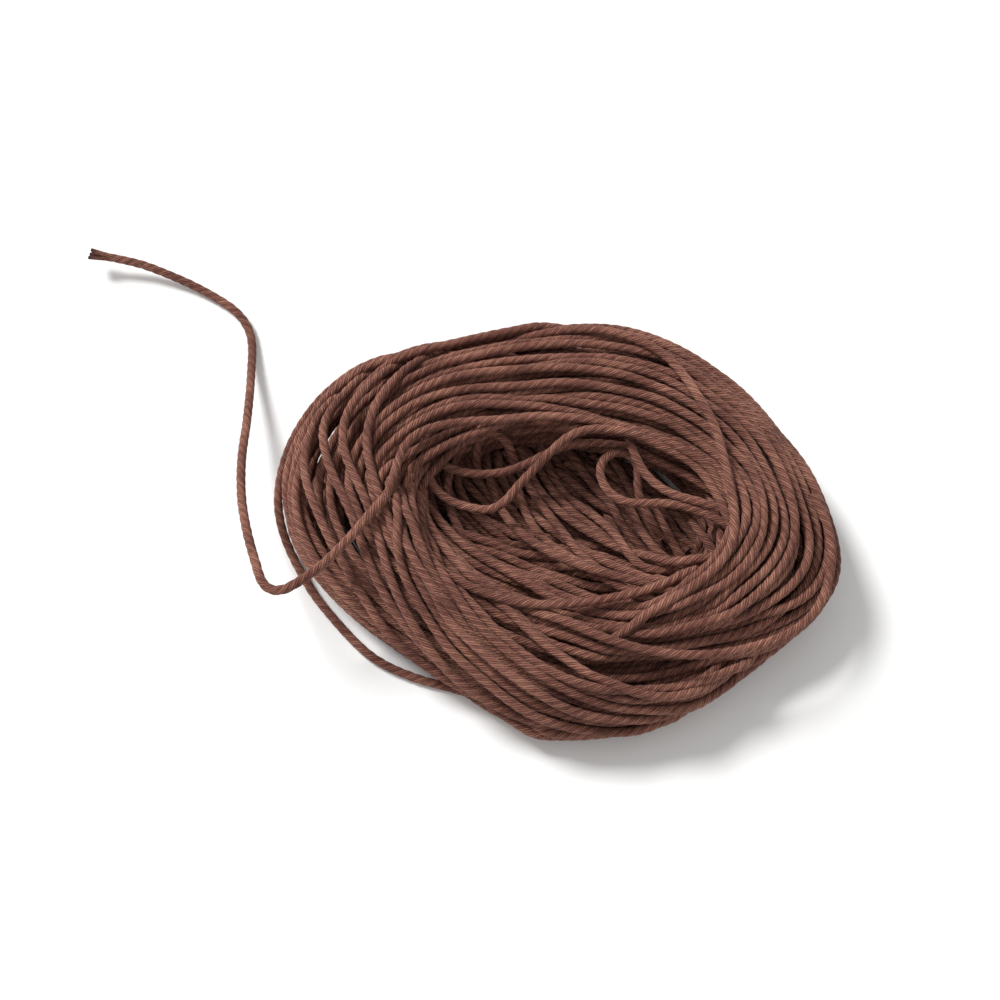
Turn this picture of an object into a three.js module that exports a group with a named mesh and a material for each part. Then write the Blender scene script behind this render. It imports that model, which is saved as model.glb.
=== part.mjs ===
// A loose hank of rigging thread: an oval nest of turns round an open hollow, with one free end of thread.
// Millimetres, +Z up. The origin is the middle of the hollow, on the surface that the hank lies on.
import * as THREE from "three";

// The thread, and the room that separate pieces keep.
const threadDiameter = 1.0;
const floorGap = 0.05;

// The nest. A station is a cut through the wound turns, seen from the middle of the hollow at one angle.
// Its radii and heights follow the surface from the foot of the hollow, up over the rim and the crest, to the
// outer edge, the widest line of the belly, and the foot that rests on the floor.
const stationColumns = [
  "angle",
  "pitRadius",
  "pitHeight",
  "rimRadius",
  "rimHeight",
  "crestRadius",
  "crestHeight",
  "edgeRadius",
  "edgeHeight",
  "bellyRadius",
  "bellyHeight",
  "footRadius",
];
const stationRows = [
  [0, 6, 2.5, 9, 10.5, 12.5, 11.5, 18.5, 8.5, 20.5, 5, 18],
  [22.5, 4.5, 2.5, 7.5, 9.5, 11.5, 11.5, 16.5, 9.5, 18.5, 5, 16],
  [45, 4, 2.5, 6.5, 9, 11, 11.5, 16, 9.5, 18, 5, 15.5],
  [67.5, 4, 2.5, 6, 9, 11, 12, 16.5, 10, 18.5, 5, 16],
  [90, 4.5, 3, 6.5, 9, 11.5, 12, 18, 10, 20, 5, 17],
  [112.5, 5.5, 3, 7.5, 9.5, 13.5, 12, 19.5, 10, 21.5, 5, 18.5],
  [135, 9, 3, 10.5, 9.5, 18, 11.5, 23, 9.5, 25, 5, 22],
  [157.5, 15, 3.5, 18.5, 10, 24, 11.5, 28.5, 8.5, 31, 5, 27.5],
  [180, 18, 4, 24, 11, 27.5, 10.5, 32, 8, 35.5, 4.5, 32.5],
  [202.5, 9, 2.5, 21, 9.5, 24.5, 9.5, 28, 7.5, 32, 4, 30],
  [225, 5, 2.5, 16.5, 8.5, 20.5, 8, 23, 6.5, 27.5, 3.5, 25.5],
  [247.5, 4, 2.5, 14.5, 8.5, 18, 8, 20, 6, 25.5, 3.5, 23.5],
  [270, 4, 2.5, 13.5, 9, 17, 8.5, 19, 6.5, 24.5, 3.5, 22.5],
  [292.5, 6, 2.5, 12.5, 10, 16.5, 9.5, 20, 6.5, 22.5, 3.5, 20.5],
  [315, 9.5, 2.5, 12, 10.5, 15, 11, 22, 7, 22.5, 4, 20],
  [337.5, 8.5, 2.5, 11, 11, 14.5, 11.5, 22, 7.5, 23, 4.5, 20.5],
];
const hollowFloorHeight = 2.0;

// The main twists stand out as soft ridges that drift one place along for each time round the nest.
const ridgeCount = 13;
const ridgeHeight = 0.35;
const ridgeDrift = 1;
const stepsAround = 90;
const stepsAcross = 42;

// The free end: points along its middle line, chosen by hand. It leaves the top of the nest over its left
// shoulder, turns back in a springy bend, comes down to the floor and runs off to its cut tip.
const looseEndRoute = [
  [-24.3, -2.2, 11.8],
  [-25.9, -4.1, 11.6],
  [-27.6, -6.2, 11.3],
  [-30.0, -8.7, 10.9],
  [-32.2, -10.4, 10.7],
  [-33.7, -11.3, 10.6],
  [-35.0, -11.4, 10.5],
  [-36.1, -10.5, 10.4],
  [-36.9, -8.5, 10.0],
  [-38.0, -5.4, 9.0],
  [-39.0, -1.9, 7.8],
  [-39.6, 1.3, 6.8],
  [-40.0, 5.3, 5.5],
  [-40.1, 9.5, 4.0],
  [-40.3, 13.9, 2.5],
  [-40.6, 18.3, 1.2],
  [-40.9, 21.5, 0.6],
  [-41.6, 23.6, 0.6],
  [-43.0, 25.5, 0.6],
  [-45.1, 27.1, 0.6],
  [-47.9, 28.7, 0.8],
  [-50.7, 29.9, 1.2],
  [-53.9, 31.0, 1.7],
  [-57.0, 31.6, 2.1],
  [-59.1, 31.9, 2.4],
];
const looseEndSides = 8;
const looseEndSteps = 36;

const threadFinish = { color: 0x7d554b, roughness: 0.85, metalness: 0 };

const stations = stationRows.map((row) =>
  Object.fromEntries(stationColumns.map((name, i) => [name, row[i]])),
);

// One column of the stations, read at any share of a full turn on a smooth closed curve.
function around(column, turn) {
  const place = turn * stations.length;
  const first = Math.floor(place);
  const value = (step) => {
    const index = (first + step + stations.length) % stations.length;
    return stations[index][column];
  };
  const t = place - first;
  const slopeIn = (value(1) - value(-1)) / 2;
  const slopeOut = (value(2) - value(0)) / 2;
  const rise = value(1) - value(0);
  return (
    value(0) +
    slopeIn * t +
    (3 * rise - 2 * slopeIn - slopeOut) * t * t +
    (slopeIn + slopeOut - 2 * rise) * t * t * t
  );
}

// The cut at one share of a turn: points (radius, height) from the middle of the hollow over the nest to its
// foot, with the ridges on it, and back under it along the floor.
function sectionAt(turn) {
  const read = (column) => around(column, turn);
  const line = new THREE.SplineCurve([
    new THREE.Vector2(0, hollowFloorHeight),
    new THREE.Vector2(read("pitRadius"), read("pitHeight")),
    new THREE.Vector2(read("rimRadius"), read("rimHeight")),
    new THREE.Vector2(read("crestRadius"), read("crestHeight")),
    new THREE.Vector2(read("edgeRadius"), read("edgeHeight")),
    new THREE.Vector2(read("bellyRadius"), read("bellyHeight")),
    new THREE.Vector2(read("footRadius"), 0),
  ]);
  const section = line.getSpacedPoints(stepsAcross).map((point, i) => {
    const share = i / stepsAcross;
    const phase = 2 * Math.PI * (ridgeCount * share + ridgeDrift * turn);
    const lift = ridgeHeight * Math.sin(Math.PI * share) * Math.cos(phase);
    const tangent = line.getTangentAt(share);
    const radius = Math.max(0, point.x - tangent.y * lift);
    return new THREE.Vector2(radius, Math.max(0, point.y + tangent.x * lift));
  });
  section[0].set(0, hollowFloorHeight);
  section[stepsAcross].y = 0;
  return [...section, new THREE.Vector2(0, 0)];
}

// The nest starts as a lathe shape of its first cut, and each of its columns then takes the cut at its own angle.
// The columns run clockwise, seen from above, so that the faces point outwards.
function makeNest() {
  const nest = new THREE.LatheGeometry(sectionAt(0), stepsAround);
  const places = nest.getAttribute("position");
  for (let column = 0; column <= stepsAround; column++) {
    const turn = ((stepsAround - column) % stepsAround) / stepsAround;
    const section = sectionAt(turn);
    const angle = 2 * Math.PI * turn;
    section.forEach((point, i) => {
      const x = point.x * Math.cos(angle);
      const y = point.x * Math.sin(angle);
      places.setXYZ(column * section.length + i, x, y, point.y);
    });
  }
  nest.deleteAttribute("uv");
  nest.computeVertexNormals();
  return nest;
}

function makeLooseEnd() {
  const cut = new THREE.Shape();
  for (let side = 0; side < looseEndSides; side++) {
    const angle = (2 * Math.PI * side) / looseEndSides;
    const x = (threadDiameter / 2) * Math.cos(angle);
    const y = (threadDiameter / 2) * Math.sin(angle);
    if (side === 0) cut.moveTo(x, y);
    else cut.lineTo(x, y);
  }
  cut.closePath();
  const lowest = threadDiameter / 2 + floorGap;
  const route = looseEndRoute.map(
    ([x, y, z]) => new THREE.Vector3(x, y, Math.max(z, lowest)),
  );
  return new THREE.ExtrudeGeometry(cut, {
    steps: looseEndSteps,
    extrudePath: new THREE.CatmullRomCurve3(route, false, "centripetal"),
  });
}

function addPiece(group, name, geometry) {
  const finish = new THREE.MeshStandardMaterial(threadFinish);
  const piece = new THREE.Mesh(geometry, finish);
  piece.name = name;
  group.add(piece);
}

const threadHank = new THREE.Group();
addPiece(threadHank, "hank", makeNest());
addPiece(threadHank, "loose_end", makeLooseEnd());

export default threadHank;
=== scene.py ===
# %% [markdown]
# A hank of rigging thread, and how it is looked at
#
# The real object is a dozen metres or so of three-ply cotton thread, wound round and round into a loose
# oval nest and laid on a table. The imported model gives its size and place: a plain nest, and a plain tube
# for the free end. It could be dressed with a texture of turns, but the turns are what the eye sees, so
# every turn is made here as thread. Lines of points are laid first, pushed apart until they lie side by
# side, and only then given the thread's thickness. All sizes are in millimetres, because a thread of one
# millimetre is easy to think with, and each piece is scaled to metres as the last thing.

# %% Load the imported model
import math

import bmesh
import bpy
import numpy as np
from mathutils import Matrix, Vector


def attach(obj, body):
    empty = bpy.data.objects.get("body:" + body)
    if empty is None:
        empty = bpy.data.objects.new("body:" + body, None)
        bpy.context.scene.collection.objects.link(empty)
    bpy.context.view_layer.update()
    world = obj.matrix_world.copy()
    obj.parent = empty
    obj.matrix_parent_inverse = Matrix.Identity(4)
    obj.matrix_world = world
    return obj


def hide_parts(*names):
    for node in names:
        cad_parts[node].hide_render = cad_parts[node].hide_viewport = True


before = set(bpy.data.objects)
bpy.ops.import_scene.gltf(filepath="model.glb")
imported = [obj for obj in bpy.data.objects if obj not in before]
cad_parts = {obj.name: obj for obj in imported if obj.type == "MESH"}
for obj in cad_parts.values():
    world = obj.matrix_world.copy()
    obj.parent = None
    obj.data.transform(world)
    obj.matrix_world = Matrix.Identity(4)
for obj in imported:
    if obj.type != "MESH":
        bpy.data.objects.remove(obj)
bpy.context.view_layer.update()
MM = 0.001

# The generator that lays the turns, so that they lie the same way in each run.
rng = np.random.default_rng(7)
print("packed nodes:", sorted(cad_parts))

# %% [markdown]
# The camera comes first, so that each later step can be judged in the right view. It looks down on the
# hank from the front, steeply enough to see into the hollow. A 50 mm lens on a full-frame sensor keeps
# the mild perspective of a product photograph, where a longer lens would flatten the nest. The floor
# point in the middle of the picture is left of the hank, because the free end needs room there.

# %% Camera
PICTURE_MIDDLE = Vector((-13.0, 2.5, 0.0))
VIEW_DISTANCE = 150.5
VIEW_ELEVATION = math.radians(67.0)
LENS = 50.4
SENSOR_WIDTH = 36.0
NEAREST_SEEN = 0.001

camera_data = bpy.data.cameras.new("camera")
camera_data.lens = LENS
camera_data.sensor_width = SENSOR_WIDTH
camera_data.clip_start = NEAREST_SEEN
camera = bpy.data.objects.new("camera", camera_data)
bpy.context.scene.collection.objects.link(camera)
towards_camera = Vector((0.0, -math.cos(VIEW_ELEVATION), math.sin(VIEW_ELEVATION)))
camera.location = (PICTURE_MIDDLE + VIEW_DISTANCE * towards_camera) * MM
camera.rotation_euler = (math.pi / 2 - VIEW_ELEVATION, 0.0, 0.0)
bpy.context.scene.camera = camera
print("camera at", [round(c, 4) for c in camera.location])

# %% [markdown]
# Three plies are twisted together into the thread. Seen end on, they make a three-lobed outline. It could
# be a round one with the grooves painted or bumped on, but up close the edge of the thread would then be
# straight, so the lobes are real here. There is an outline for the free end, one for the turns that show,
# which press into each other and so are drawn a little thinner, one with fewer points for turns that
# hardly show, and a nearly round one for a wisp of fibre.

# %% The thread's section
THREAD = 1.0
FREE_ACROSS = 0.98
WOUND_ACROSS = 0.94
WISP_ACROSS = 0.44
PLIES = 3
GROOVE_DEPTH = 0.13
WISP_FLATNESS = 0.04
OUTLINE_POINTS = 12
HIDDEN_POINTS = 9
WISP_POINTS = 5


def make_outline(name, points, across, lobed=True):
    """The outline of the thread, or of one wisp of its fibre, in its end view: a closed flat curve."""
    outline = bpy.data.curves.new(name, "CURVE")
    outline.dimensions = "2D"
    spline = outline.splines.new("POLY")
    spline.points.add(points - 1)
    for i, point in enumerate(spline.points):
        angle = 2 * math.pi * i / points
        depth = GROOVE_DEPTH * (1 - abs(math.cos(PLIES * angle / 2))) if lobed else WISP_FLATNESS
        radius = across / 2 * (1 - depth)
        point.co = (radius * math.cos(angle), radius * math.sin(angle), 0, 1)
    spline.use_cyclic_u = True
    outline_object = bpy.data.objects.new(name, outline)
    bpy.context.scene.collection.objects.link(outline_object)
    return outline_object


outlines = {
    "free": make_outline("outline_free", OUTLINE_POINTS, FREE_ACROSS),
    "wound": make_outline("outline_wound", OUTLINE_POINTS, WOUND_ACROSS),
    "hidden": make_outline("outline_hidden", HIDDEN_POINTS, FREE_ACROSS),
    "wisp": make_outline("outline_wisp", WISP_POINTS, WISP_ACROSS, lobed=False),
}
print("outlines:", sorted(outlines))

# %% [markdown]
# Thread is drawn along a line of points. A route has few of them, so it is rounded first: a new point
# goes into each gap, a little outside the straight, and a few rounds of that give a smooth line. A curve
# object with handles would do the same, but the points are needed later, when the turns push each other
# apart.

# %% Smooth lines
CORNER_ROUNDS = 5
ROUNDING = 16


def resample(line, step):
    """The same line with points at equal distances of about step, straight between the old points."""
    lengths = np.linalg.norm(np.diff(line, axis=0), axis=1)
    along = np.concatenate([[0.0], np.cumsum(lengths)])
    count = max(2, int(round(along[-1] / step)) + 1)
    places = np.linspace(0.0, along[-1], count)
    return np.column_stack([np.interp(places, along, line[:, i]) for i in range(3)]), along[-1]


def round_off(points):
    """The same line with a new point in each gap, moved to the outside of the bend there."""
    middle = (points[:-1] + points[1:]) / 2
    bend = np.zeros_like(points)
    bend[1:-1] = points[:-2] + points[2:] - 2 * points[1:-1]
    middle -= (bend[:-1] + bend[1:]) / ROUNDING
    merged = np.empty((len(points) + len(middle), 3))
    merged[0::2] = points
    merged[1::2] = middle
    return merged


def smooth_line(line, step, rounds=CORNER_ROUNDS):
    """A smooth line through the given points, with points at equal distances of about step."""
    points = np.asarray(line, float)
    for _ in range(rounds):
        points = round_off(points)
    return resample(points, step)[0]


right_angle = smooth_line([(0, 0, 0), (10, 0, 0), (10, 10, 0)], THREAD)
print(f"a rounded right angle has {len(right_angle)} points")

# %% [markdown]
# Along the thread the lobes turn like the strokes of a letter S. A curve with the outline as its bevel
# object, and a tilt that grows steadily along it, gives real plies instead of a painted stripe. A screw
# modifier could twist a straight piece, but it can't follow a route. The UV map is in the thread's own
# measure, turns across and millimetres along, and each length starts at a random place of the pattern, so
# that no two turns that lie side by side look the same.

# %% From a line of points to a mesh of thread
PLY_TURN = 3.4
PATTERN_LENGTH = 900.0
WELD_DISTANCE = 0.002
pattern_rng = np.random.default_rng(11)


def thread_mesh(line, grade, step):
    """One length of twisted thread as a temporary mesh, its UV map in turns and millimetres."""
    points, length = resample(np.asarray(line, float), step)
    curve = bpy.data.curves.new("thread", "CURVE")
    curve.dimensions = "3D"
    curve.twist_mode = "MINIMUM"
    curve.bevel_mode = "OBJECT"
    curve.bevel_object = outlines[grade]
    curve.use_fill_caps = True
    spline = curve.splines.new("POLY")
    spline.points.add(len(points) - 1)
    spline.points.foreach_set("co", np.column_stack([points, np.ones(len(points))]).ravel())
    turned = 0.0 if grade == "wisp" else -2 * math.pi / PLY_TURN
    spline.points.foreach_set("tilt", turned * np.linspace(0.0, length, len(points)))
    holder = bpy.data.objects.new("thread", curve)
    bpy.context.scene.collection.objects.link(holder)
    depsgraph = bpy.context.evaluated_depsgraph_get()
    mesh = bpy.data.meshes.new_from_object(holder.evaluated_get(depsgraph), depsgraph=depsgraph)
    bpy.data.objects.remove(holder)
    bpy.data.curves.remove(curve)
    uv = np.empty(2 * len(mesh.loops), np.float32)
    mesh.uv_layers[0].data.foreach_get("uv", uv)
    uv[0::2] = uv[0::2] * length + pattern_rng.uniform(0.0, PATTERN_LENGTH)
    mesh.uv_layers[0].data.foreach_set("uv", uv)
    return mesh, length


def add_thread_piece(name, lines, grade, step, material, replaced="hank", wisps=()):
    """Joins lengths of thread, and wisps, into one named piece in metres that rides on the body."""
    joined = bmesh.new()
    total = 0.0
    for line in lines:
        mesh, length = thread_mesh(line, grade, step)
        joined.from_mesh(mesh)
        bpy.data.meshes.remove(mesh)
        total += length
    for line in wisps:
        mesh, _ = thread_mesh(line, "wisp", step)
        joined.from_mesh(mesh)
        bpy.data.meshes.remove(mesh)
    bmesh.ops.remove_doubles(joined, verts=joined.verts, dist=WELD_DISTANCE)
    bmesh.ops.scale(joined, vec=(MM, MM, MM), verts=joined.verts)
    for face in joined.faces:
        face.smooth = True
    mesh = bpy.data.meshes.new(name)
    joined.to_mesh(mesh)
    joined.free()
    mesh.materials.append(material)
    piece = bpy.data.objects.new(name, mesh)
    bpy.context.scene.collection.objects.link(piece)
    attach(piece, "root")
    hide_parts(replaced)
    triangles = sum(len(p.vertices) - 2 for p in mesh.polygons)
    print(f"{name}: {total:.0f} mm of thread, {triangles} triangles")
    return piece, total


print(f"the plies turn once in {PLY_TURN} mm")

# %% [markdown]
# Cotton thread is matt, a little fuzzy, and never one flat colour. Its fibres lie nearly along the thread
# while the plies turn round it, so a noise stretched that way on the thread's own UV map makes both the
# fine lines and the bump. The noise is read on a ring, so that it closes round the thread without a seam.
# A slow noise in Object coordinates changes the brown a little from place to place, and the grooves
# between the plies are painted darker and the lobes lighter, a painted shade, because little light reaches
# the grooves. One material does for every piece, as it is one thread.

# %% Thread material
THREAD_DARK = (0.055, 0.019, 0.014, 1.0)
THREAD_MID = (0.168, 0.062, 0.045, 1.0)
THREAD_LIGHT = (0.400, 0.190, 0.130, 1.0)
DARK_AT = 0.48
MID_AT = 0.76
LIGHT_AT = 0.95
TONE_SCALE = 0.92
YARNS = 9
YARN_WAVER = 5.0
FIBRE_RING = 2.6
FIBRE_STRETCH = 0.9
FIBRE_SCALE = 2.4
WAVER_SCALE = 0.7
DYE_SCALE = 260.0
FIBRE_SHARE = 0.85
YARN_SHARE = 0.22
GROOVE_SHADE_SHARE = 0.12
DYE_SHARE = 0.44
FIBRE_HEIGHT = 0.9
YARN_HEIGHT = 0.5
BUMP_STRENGTH = 0.9
BUMP_DEPTH = 0.00015


def make_thread_material(name):
    """Matt brown cotton, its fibres and yarns along the UV map of the thread."""
    material = bpy.data.materials.new(name)
    material.use_nodes = True
    nodes, links = material.node_tree.nodes, material.node_tree.links
    nodes.clear()

    def node(kind, **settings):
        made = nodes.new(kind)
        for key, value in settings.items():
            setattr(made, key, value)
        return made

    def math_node(operation, first, second=None):
        made = node("ShaderNodeMath", operation=operation)
        for socket, value in zip(made.inputs, (first, second)):
            if isinstance(value, (int, float)):
                socket.default_value = value
            elif value is not None:
                links.new(value, socket)
        return made.outputs[0]

    def noise_node(vector, scale, detail, roughness=0.5):
        made = node("ShaderNodeTexNoise")
        made.inputs["Scale"].default_value = scale
        made.inputs["Detail"].default_value = detail
        made.inputs["Roughness"].default_value = roughness
        links.new(vector, made.inputs["Vector"])
        return made.outputs["Fac"]

    output = node("ShaderNodeOutputMaterial")
    shader = node("ShaderNodeBsdfPrincipled")
    links.new(shader.outputs[0], output.inputs["Surface"])
    shader.inputs["Roughness"].default_value = 0.9
    shader.inputs["Specular IOR Level"].default_value = 0.2
    shader.inputs["Sheen Weight"].default_value = 0.12
    shader.inputs["Sheen Roughness"].default_value = 0.5
    shader.inputs["Sheen Tint"].default_value = (0.9, 0.65, 0.55, 1.0)

    uv = node("ShaderNodeUVMap", uv_map="UVMap")
    split = node("ShaderNodeSeparateXYZ")
    links.new(uv.outputs[0], split.inputs[0])
    along, round_it = split.outputs[0], split.outputs[1]

    # The fibre field: a ring in two of its directions, so that it closes round the thread, and the length.
    angle = math_node("MULTIPLY", round_it, 2 * math.pi)
    fibre_place = node("ShaderNodeCombineXYZ")
    links.new(math_node("MULTIPLY", math_node("COSINE", angle), FIBRE_RING), fibre_place.inputs[0])
    links.new(math_node("MULTIPLY", math_node("SINE", angle), FIBRE_RING), fibre_place.inputs[1])
    links.new(math_node("MULTIPLY", along, FIBRE_STRETCH), fibre_place.inputs[2])
    fibres = noise_node(fibre_place.outputs[0], FIBRE_SCALE, 4.0, 0.65)

    # Fine yarns run round the thread with the plies, a little unevenly.
    uneven = math_node("MULTIPLY", noise_node(fibre_place.outputs[0], WAVER_SCALE, 1.0), YARN_WAVER)
    yarn_angle = math_node("ADD", math_node("MULTIPLY", round_it, 2 * math.pi * YARNS), uneven)
    yarns = math_node("MULTIPLY", math_node("ADD", math_node("COSINE", yarn_angle), 1.0), 0.5)
    # Painted shade: darker in the grooves between the plies and lighter on the lobes, as the light falls.
    plies = math_node("ABSOLUTE", math_node("COSINE", math_node("MULTIPLY", round_it, math.pi * PLIES)))

    # Slow changes of the dye from place to place.
    place = node("ShaderNodeTexCoord")
    dye = noise_node(place.outputs["Object"], DYE_SCALE, 2.0)

    tone = math_node("MULTIPLY", fibres, FIBRE_SHARE)
    for share, part in ((YARN_SHARE, yarns), (GROOVE_SHADE_SHARE, plies), (DYE_SHARE, dye)):
        tone = math_node("ADD", tone, math_node("MULTIPLY", part, share))
    ramp = node("ShaderNodeValToRGB")
    ramp.color_ramp.elements[0].position = DARK_AT
    ramp.color_ramp.elements[0].color = THREAD_DARK
    ramp.color_ramp.elements[1].position = LIGHT_AT
    ramp.color_ramp.elements[1].color = THREAD_LIGHT
    middle = ramp.color_ramp.elements.new(MID_AT)
    middle.color = THREAD_MID
    links.new(math_node("MULTIPLY", tone, TONE_SCALE), ramp.inputs[0])
    links.new(ramp.outputs[0], shader.inputs["Base Color"])

    fibre_height = math_node("MULTIPLY", fibres, FIBRE_HEIGHT)
    height = math_node("ADD", fibre_height, math_node("MULTIPLY", yarns, YARN_HEIGHT))
    bump = node("ShaderNodeBump")
    bump.inputs["Strength"].default_value = BUMP_STRENGTH
    bump.inputs["Distance"].default_value = BUMP_DEPTH
    links.new(height, bump.inputs["Height"])
    links.new(bump.outputs[0], shader.inputs["Normal"])
    return material


thread_brown = make_thread_material("thread_brown")
print(f"{thread_brown.name}: {len(thread_brown.node_tree.nodes)} nodes")

# %% [markdown]
# The free end is the one cord that shows by itself. It leaves the top of the nest over the left shoulder,
# where the last turn runs out of the winding, springs out to one side because the thread kept a bend
# there, comes down to the floor and runs off to its cut tip. It could be left to a simulation, but a bend
# that the thread has kept is easier to give as a listed route. Its middle line has the points of the packed
# model's tube. They were picked by eye in the picture and turned into millimetres by another program before
# they were written here. The cut tip has opened, so short wisps of fibre stand out on all sides.

# %% Free end
LOOSE_END_ROUTE = [
    (-24.3, -2.2, 11.8), (-25.9, -4.1, 11.6), (-27.6, -6.2, 11.3), (-30.0, -8.7, 10.9),
    (-32.2, -10.4, 10.7), (-33.7, -11.3, 10.6), (-35.0, -11.4, 10.5), (-36.1, -10.5, 10.4),
    (-36.9, -8.5, 10.0), (-38.0, -5.4, 9.0), (-39.0, -1.9, 7.8), (-39.6, 1.3, 6.8), (-40.0, 5.3, 5.5),
    (-40.1, 9.5, 4.0), (-40.3, 13.9, 2.5), (-40.6, 18.3, 1.2), (-40.9, 21.5, 0.6), (-41.6, 23.6, 0.6),
    (-43.0, 25.5, 0.6), (-45.1, 27.1, 0.6), (-47.9, 28.7, 0.8), (-50.7, 29.9, 1.2), (-53.9, 31.0, 1.7),
    (-57.0, 31.6, 2.1), (-59.1, 31.9, 2.4),
]
FINE_STEP = 0.3
WISPS = 14
WISP_STEP = 0.2
WISP_BACK = 1.8
WISP_ROOT = 0.2
BULGE_BACK = 0.7
BULGE_LEAST = 0.1
BULGE_SHARE = 0.5
WISP_PAST = (0.2, 0.8)
WISP_OUT = (0.15, 0.62)
wisp_rng = np.random.default_rng(5)

loose_line = smooth_line(LOOSE_END_ROUTE, FINE_STEP)

tip = loose_line[-1]
tip_ahead = (tip - loose_line[-6]) / np.linalg.norm(tip - loose_line[-6])
tip_side = np.cross(tip_ahead, (0.0, 0.0, 1.0))
tip_up = np.cross(tip_side, tip_ahead)
wisp_lines = []
for wisp in range(WISPS):
    angle = 2 * math.pi * wisp / WISPS
    outwards = math.cos(angle) * tip_side + math.sin(angle) * tip_up
    reach, out = wisp_rng.uniform(*WISP_PAST), wisp_rng.uniform(*WISP_OUT)
    root = tip - WISP_BACK * tip_ahead + WISP_ROOT * outwards
    bulge = tip - BULGE_BACK * tip_ahead + (BULGE_LEAST + BULGE_SHARE * out) * outwards
    wisp_lines.append(smooth_line([root, bulge, tip + reach * tip_ahead + out * outwards], WISP_STEP))

loose_end, loose_length = add_thread_piece(
    "loose_end_thread", [loose_line], "free", FINE_STEP, thread_brown,
    replaced="loose_end", wisps=wisp_lines)
print(f"free end: {loose_length:.1f} mm")

# %% [markdown]
# The nest is an oval ring, and its turns lie on it as they would on a wound-up hose. A table of stations
# gives the cut through the ring at sixteen angles round the hollow: the foot of the hollow, the rim, the
# crest, the outer edge, the belly and the foot on the floor. A torus bent to shape would be quicker, but
# the real ring is wide and low at the left and narrow and steep at the back, and a table holds that
# plainly.

# %% Stations of the nest
STATION_COLUMNS = ("angle", "pit_r", "pit_z", "rim_r", "rim_z", "crest_r", "crest_z",
                   "edge_r", "edge_z", "belly_r", "belly_z", "foot_r")
STATION_ROWS = np.array([
    (0, 8.5, 2, 9, 10.5, 12.5, 11.5, 18.5, 8.5, 20.5, 5, 18),
    (22.5, 7.5, 2, 7.5, 9.5, 11.5, 11.5, 16.5, 9.5, 18.5, 5, 16),
    (45, 7, 2, 6.5, 9, 11, 11.5, 16, 9.5, 18, 5, 15.5),
    (67.5, 7, 2, 6, 9, 11, 12, 16.5, 10, 18.5, 5, 16),
    (90, 7.5, 2.5, 6.5, 9, 11.5, 12, 18, 10, 20, 5, 17),
    (112.5, 8.5, 2.5, 7.5, 9.5, 13.5, 12, 19.5, 10, 21.5, 5, 18.5),
    (135, 12, 2.5, 10.5, 9.5, 18, 11.5, 23.6, 9.5, 25.7, 5, 22.5),
    (157.5, 19, 2.5, 18.5, 10, 24, 11.5, 30.5, 8.5, 34, 5, 30),
    (180, 22.5, 2.5, 24, 11, 27.5, 10.5, 33, 8, 36.5, 4.5, 33),
    (202.5, 12, 2.5, 21, 9.5, 24.5, 9.5, 27.6, 7.5, 30.4, 4, 28),
    (225, 6, 2.5, 16.5, 8.5, 20.5, 8, 22.4, 6.5, 25.2, 3.5, 23.2),
    (247.5, 4, 2.5, 14.5, 8.5, 18, 8, 19.8, 6, 25, 3.5, 23),
    (270, 4, 2.5, 13.5, 9, 17, 8.5, 18.3, 6.3, 23.2, 3.5, 21.2),
    (292.5, 6.5, 2.5, 12.5, 10, 16.2, 9.5, 18.2, 6.5, 20.5, 3.5, 18.5),
    (315, 10.5, 2, 12, 10.5, 15, 11, 20.6, 7, 21.3, 4, 19),
    (337.5, 10, 2, 11, 11, 14.5, 11.5, 22, 7.5, 23, 4.5, 20.5),
])
print(len(STATION_ROWS), "stations with", ", ".join(STATION_COLUMNS[1:]))

# %% [markdown]
# On the real hank about a dozen turns lie side by side as a ribbon, and the ribbon winds round and round:
# it starts under the nest, comes up on the outside, goes over the top and down the inner wall, and each
# time round it lies beside itself. A second table gives, at the same angles, where the ribbon's outer
# side is on each time round, counted in corners of the cut: 1 is the foot of the hollow, 2 the rim, 3 the
# crest, 4 the edge, 5 the belly and 6 the foot on the floor. Single turns could be laid one by one
# instead, but the eye sees the ribbon.

# %% Where the ribbon lies
RIBBON_COLUMNS = ("angle", "time_1", "time_2", "time_3", "time_4", "time_5")
RIBBON_ROWS = np.array([
    (0, 6.2, 5.0, 2.0, 1.2, 0.3),
    (22.5, 6.2, 4.9, 2.0, 1.2, 0.3),
    (45, 6.3, 4.8, 2.0, 1.2, 0.35),
    (67.5, 6.3, 4.8, 2.0, 1.2, 0.35),
    (90, 6.3, 4.8, 2.0, 1.2, 0.4),
    (112.5, 6.4, 4.9, 2.0, 1.2, 0.45),
    (135, 6.4, 5.0, 2.0, 1.25, 0.5),
    (157.5, 6.4, 5.0, 2.0, 1.3, 0.6),
    (180, 6.4, 5.0, 2.0, 1.4, 0.7),
    (202.5, 6.5, 5.0, 2.3, 1.5, 0.8),
    (225, 6.6, 5.0, 2.8, 1.65, 0.9),
    (247.5, 6.6, 5.0, 3.3, 1.8, 0.95),
    (270, 6.7, 5.1, 3.7, 1.85, 1.0),
    (292.5, 6.7, 5.4, 4.0, 1.9, 1.05),
    (315, 6.8, 5.6, 4.3, 1.9, 1.1),
    (337.5, 6.9, 6.0, 4.8, 1.95, 1.15),
])
print(len(RIBBON_ROWS), "angles with", ", ".join(RIBBON_COLUMNS[1:]))

# %% [markdown]
# Between the stations everything is read on a smooth closed curve. The cut at each of 144 angles is then
# a closed line of evenly spaced places, and a place on the nest has three numbers: the column round the
# hollow, the share of the way along the cut, and the depth under the surface. Blender could hold the same
# as a mesh to wind on, but arrays are quicker to read thousands of times.

# %% Cuts through the nest
CORNERS = 7
COLUMNS_ROUND = 144
LANE_STEPS = 280
CORNER_STEPS = 40
FOOT_INSET = 1.5
SLOPE_REACH = 3


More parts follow.
